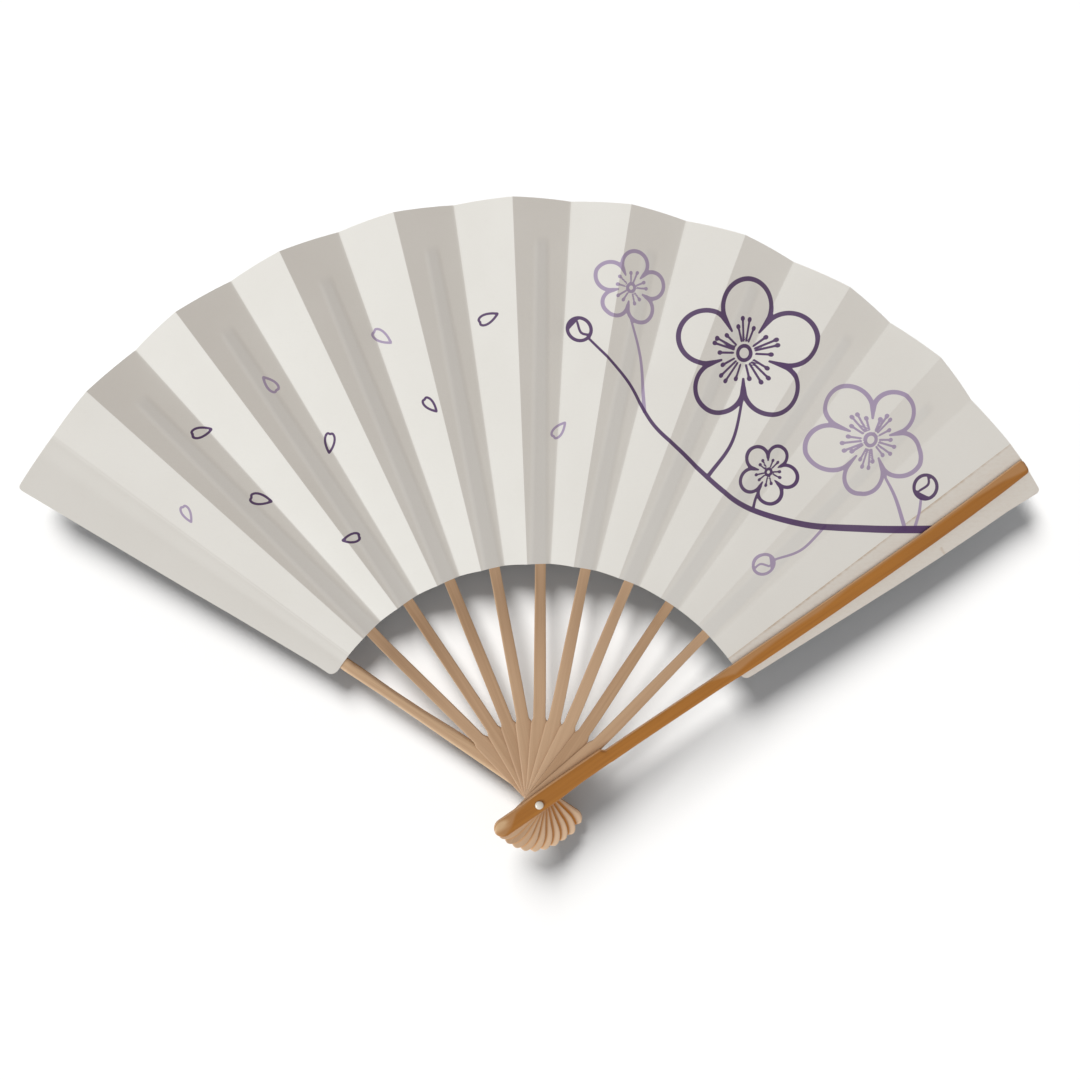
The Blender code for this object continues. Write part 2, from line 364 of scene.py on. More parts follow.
# The third colour is a painted highlight: the pale spot where the butt's lacquer catches the light.
WORN, BARE_EDGE, BUTT_HIGHLIGHT = (0.455, 0.235, 0.095), (0.68, 0.42, 0.225), (0.66, 0.44, 0.245)
INNER_PALE, INNER_TAN = (0.65, 0.455, 0.282), (0.565, 0.375, 0.23)


def lacquered_bamboo():
    finish = Finish("lacquered bamboo", roughness=0.4, Specular_IOR_Level=0.25, Coat_Weight=0.12,
                    Coat_Roughness=0.2)
    stain, fibres = bamboo_colour(finish, STAIN, STAIN_DEEP, STAIN_FIBRE, 3.7)
    side = finish.attribute("side")
    cloud = finish.noise(finish.stretched(finish.along(), (24.0, 260.0, 1.0)), 1.0, 3.0)
    along = finish.attribute("along_mm")
    deeper = finish.step(along, 165.0, 205.0) * finish.step(side, 0.7, 0.2)
    worn = finish.step(side + 0.4 * (cloud - 0.5) + finish.attribute("thin_stain"), 0.45, 0.90)
    outer = finish.mix(worn * 0.9, finish.mix(deeper * 0.3, stain, STAIN_FIBRE), WORN)
    # A painted highlight on the butt: a pale spot where the lacquer catches the light.
    outer = finish.mix(finish.attribute("rubbed_bare"), outer, BUTT_HIGHLIGHT)
    outer = finish.mix(finish.step(side, 0.88, 0.97), outer, BARE_EDGE)
    plain, _ = bamboo_colour(finish, INNER_PALE, INNER_TAN, FIBRE, 7.1)
    # The rear guard's head gets the same painted light against the stack's shade, and the same brown line of
    # dirt and painted shade.
    head = finish.step(along, -2.0, -9.0)
    plain = finish.mix(head, plain, HEAD_PAINTED_LIGHT_COLOUR)
    bare = finish.mix(dirt_and_shade_beside_next(finish) * head, plain, SEAM_DIRT_AND_SHADE)
    outside = finish.step(finish.attribute("outside"), 0.35, 0.65)
    finish.surface(
        Base_Color=finish.mix(outside, bare, outer),
        Roughness=0.46 - 0.08 * outside + 0.08 * fibres,
        Normal=finish.bump(fibres, 0.00004, 0.35),
    )
    return finish.material


LACQUER = lacquered_bamboo()
print("lacquered bamboo:", len(LACQUER.node_tree.nodes), "nodes")

# %% [markdown]
# ## Paper
# The leaf is two plies of off-white paper glued over the thin ends of the ribs. It is matt and very even:
# a soft cloudiness, a fine tooth that only shows close by, a cooler stripe where a rib lies under it, and a
# little brown where glue has soaked through beside the front guard. The drawing is in two inks. Each ink
# reads an attribute that holds the distance, in millimetres, to the edge of the nearest brush stroke, and
# paints where it is below nought. So a coarse mesh still gives a clean edge.

# %% Paper and ink
PAPER_WHITE, PAPER_CLOUD = (0.80, 0.79, 0.755), (0.775, 0.762, 0.725)
PAPER_FIBRE, OVER_SLIP, GLUE_BROWN = (0.74, 0.72, 0.68), (0.715, 0.715, 0.70), (0.58, 0.49, 0.40)
INK_DARK = (0.092, 0.047, 0.135)
INK_LIGHT = (0.40, 0.325, 0.475)
INK_EDGE = 0.09


def paper():
    finish = Finish("fan paper", roughness=0.9, Specular_IOR_Level=0.2)
    where = finish.place()
    cloud = finish.noise(where, 38.0, 3.0)
    tooth = finish.noise(where, 2600.0, 3.0, 0.6)
    fibres = finish.noise(finish.stretched(where, (420.0, 900.0, 420.0)), 1.0, 4.0, 0.6)
    ground = finish.mix(finish.step(cloud, 0.3, 0.7) * 0.6, PAPER_WHITE, PAPER_CLOUD)
    ground = finish.mix(finish.step(fibres, 0.55, 0.8) * 0.25, ground, PAPER_FIBRE)
    ground = finish.mix(finish.attribute("slip") * 0.5, ground, OVER_SLIP)
    glue = finish.step(finish.attribute("from_fold_mm"), 1.3, 0.1) * finish.attribute("glue")
    patchy = finish.step(fibres, 0.35, 0.7)
    stain = finish.attribute("stain") * (0.85 + 0.3 * patchy) + glue * (0.6 + 0.8 * patchy)
    ground = finish.mix(stain, ground, GLUE_BROWN)
    uneven = 0.90 + 0.12 * cloud
    light_ink = finish.step(finish.attribute("ink_light"), INK_EDGE, -INK_EDGE) * uneven
    dark_ink = finish.step(finish.attribute("ink_dark"), INK_EDGE, -INK_EDGE) * uneven
    inked = finish.mix(dark_ink, finish.mix(light_ink, ground, INK_LIGHT), INK_DARK)
    finish.surface(Base_Color=inked, Normal=finish.bump(tooth + 0.6 * cloud, 0.00005, 0.35))
    return finish.material


PAPER = paper()
print("paper:", len(PAPER.node_tree.nodes), "nodes")

# %% [markdown]
# ## Ivory
# The rivet is a smooth, slightly yellow pin with a polished domed head.

# %% Ivory
IVORY_PALE, IVORY_WARM = (0.80, 0.77, 0.70), (0.70, 0.65, 0.56)


def ivory():
    finish = Finish("ivory", roughness=0.28, Coat_Weight=0.3, Coat_Roughness=0.1)
    cloud = finish.noise(finish.place(), 900.0, 3.0)
    finish.surface(
        Base_Color=finish.mix(cloud, IVORY_PALE, IVORY_WARM),
        Roughness=0.24 + 0.12 * cloud,
    )
    return finish.material


IVORY = ivory()
print("ivory:", len(IVORY.node_tree.nodes), "nodes")

# %% [markdown]
# ## A stick as a swept section
# Every stick is one section carried along a line: a flattened oval whose width, height and roundness change
# on the way. The oval is a superellipse. With an exponent of 2 it is an ellipse, and as the exponent grows
# it comes near to a rectangle with rounded corners, which suits planed bamboo. The butt's end is round too,
# so the width shrinks there as the side of an ellipse does. The rivet's hole is cut through the finished
# stick by an exact Boolean, which leaves the round wall of the hole as a real surface.

# %% Sweep a section along a stick
RING = 36
HOLE, HOLE_SIDES = 0.00155, 40
CUTTER_FLOOR, CUTTER_TOP = -0.01, 0.04


def superellipse(exponent):
    """Unit section: the cosine and sine of the angle, each to the power 2 / exponent with its sign kept."""
    angle = 2 * np.pi * (np.arange(RING) + 0.5) / RING
    power = 2 / np.asarray(exponent)[:, None]
    side, rise = np.cos(angle)[None, :], np.sin(angle)[None, :]
    return np.sign(side) * np.abs(side) ** power, np.sign(rise) * np.abs(rise) ** power


def end_rounding(x, end, length, inwards):
    """Share of the width that is left near a rounded end: the side of an ellipse.

    It is the square root of 1 - (1 - d / length)^2 at the distance d from the end.
    """
    d = np.clip((x - end) * inwards / length, 0.0, 1.0)
    return np.sqrt(np.maximum(1 - (1 - d) ** 2, 0.0004))


def swept(k, x, half_width, shift, low, high, exponent, turn, flipped=False):
    """Points of stick k: at x along it, side = shift + half_width * c and rise between low and high.

    c and s are the section's unit oval, and the rise is the middle of low and high plus half their distance
    times s. The pair (side, rise) is then turned by the angle turn about the stick's own axis. It returns
    the points, their side and c and s.
    """
    origin, along, left, up = stick_frame(k)
    c, s = superellipse(exponent)
    side = shift[:, None] + half_width[:, None] * c
    rise = ((low + high) / 2)[:, None] + ((high - low) / 2)[:, None] * s
    if flipped:
        rise = -rise
    cos, sin = np.cos(turn)[:, None], np.sin(turn)[:, None]
    across, height = side * cos - rise * sin, side * sin + rise * cos
    points = origin + x[:, None, None] * along + across[..., None] * left + height[..., None] * up
    return points, side, c, s


def sweep_faces(rows, flipped):
    """The sides of the sweep and one many-sided face at each end, all facing out."""
    ends = [list(range(RING))[::-1], list(range((rows - 1) * RING, rows * RING))]
    faces = grid_quads(rows, RING, ring=True).tolist() + ends
    return [face[::-1] for face in faces] if flipped else faces


def bore(piece):
    """Cuts the rivet's hole through a stick with an exact Boolean, and keeps the result as plain mesh."""
    angle = 2 * np.pi * np.arange(HOLE_SIDES) / HOLE_SIDES
    rim = np.stack([HOLE * np.cos(angle), HOLE * np.sin(angle)], -1)
    points = np.concatenate([np.c_[rim, np.full(HOLE_SIDES, z)] for z in (CUTTER_FLOOR, CUTTER_TOP)])
    ends = [list(range(HOLE_SIDES))[::-1], list(range(HOLE_SIDES, 2 * HOLE_SIDES))]
    faces = grid_quads(2, HOLE_SIDES, ring=True).tolist() + ends
    cutter = new_piece("cutter", points, faces)
    modifier = piece.modifiers.new("bore", "BOOLEAN")
    modifier.operation, modifier.solver, modifier.object = "DIFFERENCE", "EXACT", cutter
    graph = bpy.context.evaluated_depsgraph_get()
    evaluated = piece.evaluated_get(graph)
    cut_mesh = bpy.data.meshes.new_from_object(evaluated, preserve_all_data_layers=True, depsgraph=graph)
    piece.modifiers.clear()
    piece.data = cut_mesh
    bpy.data.objects.remove(cutter, do_unlink=True)


print("a section has", RING, "points, and the hole is", 2000 * HOLE, "mm wide")

# %% [markdown]
# ## Where the leaf folds
# The leaf is one pleated sheet, so two panels that meet share a straight fold line. The mountain folds lie
# to the left of each stick and the valley folds to the right. The slips of the ribs have to follow the
# sheet, so the folds come first.

# %% Fold lines
LEAF_INNER, LEAF_OUTER = 0.1015, 0.253
VALLEY_LIFT = 0.31 * PITCH
MOUNTAIN_DROP = 0.504 * PITCH


def panel_axes(k):
    """Stick k's panel: unit vectors along the stick, across to the left and out of the panel's upper face."""
    _, along, left, up = stick_frame(k)
    tilt = 0.0 if is_guard(k) else TILT
    across = math.cos(tilt) * left + math.sin(tilt) * up
    return along, across, np.cross(along, across)


def fold(k, side):
    """The fold on the left (+1, a mountain) or right (-1, a valley) of stick k: a point and a direction.

    The two folds don't pass through the stick's own axis: the valley is lifted and the mountain lowered a
    little, so that the sheet has room for its own thickness when the sticks lie on each other.
    """
    origin = stick_frame(k)[0]
    along, across, normal = panel_axes(k)
    half = GAP / 4 if is_guard(k) else HALF_PLEAT
    direction = math.cos(half) * along + side * math.sin(half) * across
    return origin + (VALLEY_LIFT if side < 0 else -MOUNTAIN_DROP) * normal, direction


def free_edge(k, side):
    """A cut edge of the leaf, glued to a guard: as a fold, but in the guard's own plane."""
    return stick_frame(k)[0], fold(k, side)[1]


pleat_width = 2000 * LEAF_OUTER * math.sin(HALF_PLEAT)
print("a panel on a rib is", round(pleat_width, 1), "mm wide at its outer edge")

# %% [markdown]
# ## Where the middle of a sheet lies
# Paper between two folds is never quite plane, so each sheet bows a little and carries two long, faint
# waves, which fade out at the folds. The slip in its pocket has to lie in the middle of the same sheet, so
# the sheet's height and slope over the stick are worked out before the ribs are made.

# %% The sheet's unevenness


def waves(seed, along_mm, across_share):
    """A slow unevenness in the sheet, nought at both folds: a bow plus two long waves of random phase."""
    chance = np.random.default_rng(seed)
    bow, swell, ripple = chance.uniform(-0.10, 0.10), chance.uniform(-0.07, 0.07), chance.uniform(0.02, 0.05)
    phase = chance.uniform(0, 2 * np.pi, 2)
    shape = bow + swell * np.sin(along_mm / 34 + phase[0]) + ripple * np.sin(along_mm / 11 + phase[1])
    return 0.001 * shape * np.sin(np.pi * across_share)


def sheet_over_slip(k, x):
    """Height of the sheet's middle line over the tilted stick, and the sheet's slope across it, at x."""
    lift = (VALLEY_LIFT - MOUNTAIN_DROP) / 2 + waves(10 + k, 1000 * x, 0.5)
    slope = np.arctan2(VALLEY_LIFT + MOUNTAIN_DROP, 2 * x * math.sin(HALF_PLEAT))
    return lift, slope


edge_slopes = sheet_over_slip(1, np.array([LEAF_INNER, LEAF_OUTER]))[1]
print("the sheet's slope at its two edges:", np.degrees(edge_slopes).round(1).tolist(), "degrees")

# %% [markdown]
# ## The ribs
# A rib is broad round the rivet, steps in at its shoulder so that the fan shows its slits, and runs as a
# thin blade into the leaf, where it ends as a slip between the plies. The pleat holds the slip tilted, while
# the head stays flat, so the blade between them is twisted. The twist follows a smooth step along the
# stick. No two ribs are quite alike: each was split
# and planed by hand, so its head, its tone and the way its blade sways are its own. Those sizes were read
# off the photograph in millimetres. A table is a pair of rows, places along the stick and values there.

# %% Heads and stations
HEAD_ROUND = 0.0084
HEAD_HALF, HEAD_SHIFT = 0.00445, 0.0008
BUTTS = -np.array([24.3, 24.6, 24.0, 24.0, 24.0, 24.0, 23.6, 23.0, 22.5, 22.3, 22.2]) / 1000
SHOULDER_START, SHOULDER_END = 0.0329, 0.0354
SLIP_END = 0.2345


def rib_stations(butt):
    """Distances from the rivet at which the section is drawn, close together at the butt and the shoulder."""
    parts = [
        butt + HEAD_ROUND * (1 - np.cos(np.linspace(0.02, np.pi / 2, 24))),
        np.arange(butt + HEAD_ROUND + 0.0007, 0.0315, 0.0007),
        np.arange(0.0315, 0.0380, 0.0003),
        np.arange(0.0385, 0.106, 0.0012),
        np.linspace(0.107, SLIP_END, 60),
    ]
    return np.unique(np.concatenate(parts).round(7))


def to_next_stick(k, x, side):
    """Millimetres from the edge of the next stick up, which lies over this one turned by one gap.

    A point (x, side) of this stick is at x * cos(gap) - side * sin(gap) along the next one and at
    x * sin(gap) + side * cos(gap) across it. The next one's rounded head draws its edge in. Below nought
    the point is bare.
    """
    along = x[:, None] * math.cos(GAP) - side * math.sin(GAP)
    across = x[:, None] * math.sin(GAP) + side * math.cos(GAP)
    edge = HEAD_HALF * end_rounding(along, BUTTS[min(k + 1, LAST)], HEAD_ROUND, 1) - HEAD_SHIFT
    return 1000 * (across + edge)


print("a rib is drawn at", len(rib_stations(BUTTS[1])), "places along it")

# %% [markdown]
# ## One rib after another
# Two tables of half widths give the head's taper and the blade's, and a smooth step at the shoulder leads
# from one to the other. In the leaf the blade thins to a slip between the plies. The sway has one
# amount at the shoulder and one in front of the leaf, and fades out inside the leaf.

# %% Nine ribs
TWIST_START, TWIST_END = 0.042, 0.100
HEAD_WIDTHS = [[0.0, 0.034], [HEAD_HALF, 0.0035]]
BLADE_WIDTHS = [[0.036, 0.100, 0.108, SLIP_END], [0.00266, 0.00243, 0.0024, 0.0016]]
RIB_THICKNESS = [[0.0365, 0.090, 0.1000, 0.110], [0.0012, 0.0009, 0.00034, 0.00028]]
RIB_SHIFT = [[0.0365, 0.1013], [HEAD_SHIFT, 0.0]]
RIB_ROUNDNESS = [[0.0, 0.030, 0.040], [3.2, 3.6, 5.5]]
SWAY_PLACES = [0.0, 0.033, 0.045, 0.093, 0.1015, 0.125]
SWAY = np.array([[0.05, 0.85], [-0.75, -0.15], [-0.95, -0.45], [-1.05, -0.68], [-1.42, -0.70],
                 [-1.10, -0.28], [-0.87, 0.18], [-0.93, 0.0], [-1.52, -0.65]]) / 1000
RIB_TONES = (0.55, 0.25, 0.30, 0.60, 0.55, 0.85, 1.0, 0.15, 0.55)
# How much painted light each rib's head gets: most on the lowest ribs, whose heads lie deepest in the stack's
# shade.
HEAD_PAINTED_LIGHT_SHARES = (1.0, 1.0, 0.95, 0.80, 0.70, 0.43, 0.22, 0.15, 0.15)


def rib_section(k, x):
    """Half width, shift to the left and thickness of rib k at the distances x from the rivet."""
    butt, (low_sway, high_sway) = BUTTS[k], SWAY[k - 1]
    head, blade = np.interp(x, *HEAD_WIDTHS), np.interp(x, *BLADE_WIDTHS)
    half_width = head + (blade - head) * smoothstep(SHOULDER_START, SHOULDER_END, x)
    half_width *= end_rounding(x, butt, HEAD_ROUND, 1)
    half_width *= 1 - 0.35 * smoothstep(SLIP_END - 0.0015, SLIP_END, x)
    thickness = np.interp(x, *RIB_THICKNESS) * (0.7 + 0.3 * end_rounding(x, butt, 0.0008, 1))
    sways = [0.0, low_sway, low_sway, high_sway, 0.85 * high_sway, 0.0]
    shift = np.interp(x, *RIB_SHIFT) + np.interp(x, SWAY_PLACES, sways)
    return half_width, shift, thickness


def make_rib(k):
    """Rib k. From the leaf's edge on it is turned and lifted as the middle of the pleated sheet is."""
    x = rib_stations(BUTTS[k])
    half_width, shift, thickness = rib_section(k, x)
    lift, slope = sheet_over_slip(k, x)
    in_leaf = smoothstep(0.088, LEAF_INNER, x)
    turn = TILT * smoothstep(TWIST_START, TWIST_END, x) - slope * in_leaf
    low, high = lift * in_leaf - thickness / 2, lift * in_leaf + thickness / 2
    roundness = np.interp(x, *RIB_ROUNDNESS)
    points, side, _, _ = swept(k, x, half_width, shift, low, high, roundness, turn)
    piece = new_piece(f"stick_{k:02d}", points, sweep_faces(len(x), False))
    add_uv(piece, np.stack(np.broadcast_arrays(x[:, None] + 0.31 * k, side + 0.02 * k), -1))
    # The seam share sets how strongly the line of dirt and painted shade is drawn, and the other share how
    # much painted light the head gets: both are largest on the lowest ribs.
    add_marks(piece, side.shape, along_mm=1000 * x[:, None], to_next_mm=to_next_stick(k, x, side),
              tone=RIB_TONES[k - 1], seam=1.0 - 0.085 * k, head_light=HEAD_PAINTED_LIGHT_SHARES[k - 1])
    bore(piece)
    piece.data.materials.append(BAMBOO)
    origin, along, _, _ = stick_frame(k)
    start, end = origin + TWIST_START * along, origin + TWIST_END * along
    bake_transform(piece)
    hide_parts(f"rib_{k:02d}", f"rib_slip_{k:02d}")
    return piece


ribs = [make_rib(k) for k in range(1, LAST)]
print(len(ribs), "ribs,", len(ribs[0].data.vertices), "points each")

# %% [markdown]
# ## The guards
# The guards carry the leaf's two ends. Each has a flat inner face and a crowned outer face, narrows to a
# waist in front of the leaf and swells again over it. Under the leaf the inner face steps back to make
# room for the paper. The rear guard is the same section turned over. Split bamboo seldom stays straight:
# the front guard in the photograph bows sideways by a millimetre, and its middle line is drawn so. The
# tables are in millimetres: places along the guard, and the half width, the bow or the stain's thinness
# there.

# %% Shape of the guards
TIP, TIP_ROUND, BUTT_ROUND = 0.2525, 0.0016, 0.0042
GUARD_INNER, GUARD_OUTER, ROOM_FOR_LEAF = -0.0006, 0.003, 0.0009
FRONT_HALF_WIDTH = np.array([[-6.0, 2.0, 10.0, 20.0, 34.2, 36.2, 90.0, 112.0, 200.0, 240.0, 252.5],
                             [3.88, 4.05, 4.00, 3.70, 3.62, 2.92, 2.90, 3.20, 3.30, 3.35, 3.20]]) / 1000
FRONT_BOW = np.array([
    [-6.0, 10.0, 20.0, 34.2, 36.2, 48.0, 60.0, 80.0, 100.0, 125.0, 150.0, 175.0, 200.0, 220.0, 235.0, 252.5],
    [0.22, 0.50, 0.80, 0.78, -0.07, -0.07, -0.2, -0.5, -0.85, -1.15, -1.22, -1.08, -0.78, -0.25, 0.35, 1.25],
]) / 1000
REAR_HALF_WIDTH = np.array([[0.0, 21.0, 45.0, 61.0, 77.0, 93.0, 165.0, 252.5],
                            [3.50, 3.22, 2.93, 2.50, 2.35, 2.60, 3.10, 2.60]]) / 1000
REAR_BOW = np.array([[0.0, 21.0, 45.0, 61.0, 77.0, 93.0, 165.0],
                     [0.0, -0.08, -0.15, -0.05, -0.17, -0.35, 0.0]]) / 1000


def guard_stations(butt):
    """Distances from the rivet at which the section is drawn, close together where the width changes."""
    parts = [
        butt + BUTT_ROUND * (1 - np.cos(np.linspace(0.02, np.pi / 2, 16))),
        np.arange(butt + BUTT_ROUND + 0.0006, 0.033, 0.0008),
        np.arange(0.033, 0.038, 0.0004),
        np.arange(0.038, 0.060, 0.0008),
        np.arange(0.060, 0.096, 0.002),
        np.arange(0.096, 0.103, 0.0005),
        np.arange(0.104, TIP - TIP_ROUND, 0.002),
        TIP - TIP_ROUND * (1 - np.sin(np.linspace(0, np.pi / 2 - 0.02, 10))),
    ]
    return np.unique(np.concatenate(parts).round(7))


print("a guard is drawn at", len(guard_stations(BUTTS[LAST])), "places along it")

# %% [markdown]
# ## Stain, wear and a painted highlight
# Both guards come from one function. The stain's thinness follows its table along the stick, and the
# butt's painted highlight is a bell curve in both directions, centred 18.6 mm behind the rivet on the left
# half.

# %% Two guards
THIN_STAIN = np.array([
    [-21.5, -18.0, -14.5, -10.0, 0.0, 88.0, 100.0, 110.0, 122.0, 145.0, 160.0, 225.0, 240.0, 252.5],
    [1.50, 1.30, 0.90, 0.05, -0.35, -0.35, 0.90, 0.45, 0.22, 0.22, -0.10, -0.12, 0.40, 1.2],
])
# Place and size of the painted highlight on the butt, in millimetres along and in shares of the half width
# across.
SPOT_PLACE, SPOT_LENGTH, SPOT_SIDE, SPOT_WIDTH = -18.6, 4.0, 0.5, 0.42


def make_guard(name, k, body, widths, bow, flipped):
    """Guard k. Its heights count outwards from the stick's middle plane.

    The outer face is at 3.0 mm. The inner one is at -0.6 mm, and at 0.3 mm where the leaf lies against it.
    """
    butt = BUTTS[k]
    x = guard_stations(butt)
    half_width = np.interp(x, *widths)
    half_width *= end_rounding(x, butt, BUTT_ROUND, 1) * (0.55 + 0.45 * end_rounding(x, TIP, TIP_ROUND, -1))
    low = GUARD_INNER + ROOM_FOR_LEAF * smoothstep(0.0985, 0.1012, x)
    drop = 0.0007 * (1 - end_rounding(x, butt, 0.003, 1)) + 0.0006 * (1 - end_rounding(x, TIP, TIP_ROUND, -1))
    roundness, no_turn = np.full_like(x, 3.2), np.zeros_like(x)
    points, side, c, s = swept(k, x, half_width, np.interp(x, *bow), low, GUARD_OUTER - drop, roundness,
                               no_turn, flipped)
    piece = new_piece(name, points, sweep_faces(len(x), flipped))
    add_uv(piece, np.stack(np.broadcast_arrays(x[:, None], side + 0.3 * flipped), -1))
    along_mm = 1000 * x[:, None]
    # The butt's painted highlight: a bell curve along the stick and across it.
    spot = np.exp(-(((along_mm - SPOT_PLACE) / SPOT_LENGTH) ** 2) - ((c - SPOT_SIDE) / SPOT_WIDTH) ** 2)
    add_marks(piece, side.shape, side=c, outside=0.5 + 0.5 * np.clip(s * 1.4 + 0.55, -1, 1),
              thin_stain=np.interp(along_mm, *THIN_STAIN), rubbed_bare=smoothstep(0.15, 0.75, spot),
              along_mm=along_mm, to_next_mm=to_next_stick(k, x, side))
    bore(piece)
    piece.data.materials.append(LACQUER)
    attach(piece, body)
    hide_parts(body)
    return piece


front_guard = make_guard("guard_front", LAST, "front_guard", FRONT_HALF_WIDTH, FRONT_BOW, False)
rear_guard = make_guard("guard_rear", 0, "rear_guard", REAR_HALF_WIDTH, REAR_BOW, True)
print("guards:", [len(guard.data.vertices) for guard in (front_guard, rear_guard)], "points")

# %% [markdown]
# ## The rivet
# A pin runs through all the sticks. Its front head is a low dome, and its rear end is spread over a flat
# collar. Both are profiles turned round the Z axis.

# %% Turn a profile
TURNS = 72
PIN, COLLAR, COLLAR_HEIGHT = 0.0013, 0.0019, 0.0005
HEAD_SEAT, DOME, DOME_RIM, DOME_HEIGHT = 0.0033, 0.0018, 0.00012, 0.0009


def turned(name, profile, closed):
    """A body of revolution. Each (radius, height) of the profile becomes a ring of points.

    A closed profile is a ring in section. An open one starts and ends on the axis, where a face closes it.
    """
    angle = 2 * np.pi * np.arange(TURNS) / TURNS
    r, z = profile[:, 0, None], profile[:, 1, None]
    points = np.stack([r * np.cos(angle), r * np.sin(angle), z + 0 * angle], -1)
    rows = len(profile)
    faces = grid_quads(rows, TURNS, ring=True).tolist()
    if closed:
        last = (rows - 1) * TURNS
        step = np.arange(TURNS)
        seam = np.stack([last + step, last + (step + 1) % TURNS, (step + 1) % TURNS, step], -1)
        faces += seam.tolist()
    else:
        faces += [list(range(TURNS))[::-1], list(range((rows - 1) * TURNS, rows * TURNS))]
    return new_piece(name, points, faces, 50.0)


def make_rivet():
    """The pin and its collar. The pin's head is a dome 0.9 mm high and 1.8 mm in radius."""
    seat = BASE + LAST * PITCH + HEAD_SEAT
    turn = np.linspace(0, np.pi / 2, 18)[:-1]
    dome = np.stack([DOME * np.cos(turn), seat + DOME_RIM + (DOME_HEIGHT - DOME_RIM) * np.sin(turn)], -1)
    shank = [[0.0011, 0.0], [PIN, 0.0001], [PIN, seat - 0.0001], [0.0014, seat], [0.00176, seat]]
    cap = [[0.00006, seat + DOME_HEIGHT]]
    pin = turned("rivet", np.concatenate([shank, dome, cap]), closed=False)
    bottom = [[HOLE, 0.0], [0.00178, 0.0], [COLLAR, 0.0001]]
    top = [[COLLAR, 0.0004], [0.0018, COLLAR_HEIGHT], [HOLE, COLLAR_HEIGHT]]
    collar = turned("rivet_ring", np.array(bottom + top), closed=True)
    for piece, node in ((pin, "rivet_pin"), (collar, "rivet_collar")):
        piece.data.materials.append(IVORY)
        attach(piece, "rear_guard")
        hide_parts(node)


make_rivet()
print("rivet turned with", TURNS, "steps")

# %% [markdown]
# ## A drawing for the leaf
# The leaf carries a loose spray of plum blossom in two purples, drawn with an even line, and a few petals
# that have blown away from it. Every stroke is a middle line with a half width at each point, in
# millimetres on the plan of the open fan. What a material needs is only the distance to the nearest stroke.

# %% Strokes
rng = np.random.default_rng(7)


def curve(points, half_widths, steps=40):
    """A smooth line through a few points.

    It passes through each of them. Between two it is the cubic whose slope at either point is half the
    step from the point before to the point after.
    """
    p = np.asarray(points, float)
    p = np.concatenate([[2 * p[0] - p[1]], p, [2 * p[-1] - p[-2]]])
    t = np.linspace(0, len(points) - 1, steps)
    i = np.minimum(t.astype(int), len(points) - 2)
    u = (t - i)[:, None]
    a, b, c, d = p[i], p[i + 1], p[i + 2], p[i + 3]
    xy = 0.5 * (2 * b + (c - a) * u + (2 * a - 5 * b + 4 * c - d) * u**2 + (3 * b - a - 3 * c + d) * u**3)
    width = np.interp(t, np.linspace(0, len(points) - 1, len(half_widths)), half_widths)
    return np.c_[xy, width]


def turned_to(points, angle, centre):
    """The stroke turned by the angle about nought and carried to the centre, with its half widths."""
    c, s = math.cos(angle), math.sin(angle)
    x, y = points[:, 0] * c - points[:, 1] * s, points[:, 0] * s + points[:, 1] * c
    return np.c_[x + centre[0], y + centre[1], points[:, 2]]


def blossom(centre, radius, angle, line, stamens=((-0.36, 0.36), (-0.12, 0.46), (0.12, 0.47), (0.36, 0.37))):
    """Five round petals, a small ring in the middle and stamens that fan out from it.

    A petal's outline is an arc of a circle seen from the middle: the reach is the radius times
    0.50 + 0.50 * |cos(2.5 * angle)|^0.55, so it dips to half between two petals.
    """
    turn = np.linspace(0, 2 * np.pi, 241)
    lobe = np.abs(np.cos(2.5 * turn)) ** 0.55
    each = 1 + 0.05 * rng.standard_normal(6)
    size = np.interp(turn, np.linspace(0, 2 * np.pi, 6), np.r_[each[:5], each[0]])
    reach = radius * (0.50 + 0.50 * lobe) * size
    strokes = [np.c_[reach * np.cos(turn), reach * np.sin(turn), np.full(turn.shape, line)]]
    ring_turn = np.linspace(0, 2 * np.pi, 33)
    ring = 0.10 * radius
    strokes.append(np.c_[ring * np.cos(ring_turn), ring * np.sin(ring_turn), np.full(33, line * 0.8)])
    for petal in range(5):
        between = (petal + 0.5) * 2 * np.pi / 5
        ends = np.array([0.50, 0.36]) * radius
        strokes.append(np.c_[ends * math.cos(between), ends * math.sin(between), [line, line * 0.5]])
        for offset, length in stamens:
            bearing = petal * 2 * np.pi / 5 + offset + 0.04 * rng.standard_normal()
            far = length * radius
            stem = np.array([0.17 * radius, far])
            dot = np.array([far, far + 0.01 * radius])
            way = np.array([math.cos(bearing), math.sin(bearing)])
            strokes.append(np.c_[stem[:, None] * way, [line * 0.46, line * 0.5]])
            strokes.append(np.c_[dot[:, None] * way, [line * 0.95, line * 0.95]])
    return [turned_to(stroke, angle, centre) for stroke in strokes]


def bud(centre, radius, angle, line):
    """A closed bud: a round outline, the curved edge of one petal, and a thick cup at its base."""
    turn = np.linspace(0, 2 * np.pi, 61)
    outline = np.c_[radius * np.cos(turn), 0.9 * radius * np.sin(turn), np.full(turn.shape, line)]
    edge = curve(radius * np.array([(0.95, 0.2), (0.3, -0.1), (-0.5, 0.3)]), [line * 0.75, line * 0.7])
    base = np.linspace(0.78 * np.pi, 1.22 * np.pi, 21)
    swell = np.sin((base - base[0]) * np.pi / np.ptp(base))
    cup = np.c_[0.86 * radius * np.cos(base), 0.8 * radius * np.sin(base), line * (0.6 + 1.3 * swell)]
    return [turned_to(stroke, angle, centre) for stroke in (outline, edge, cup)]


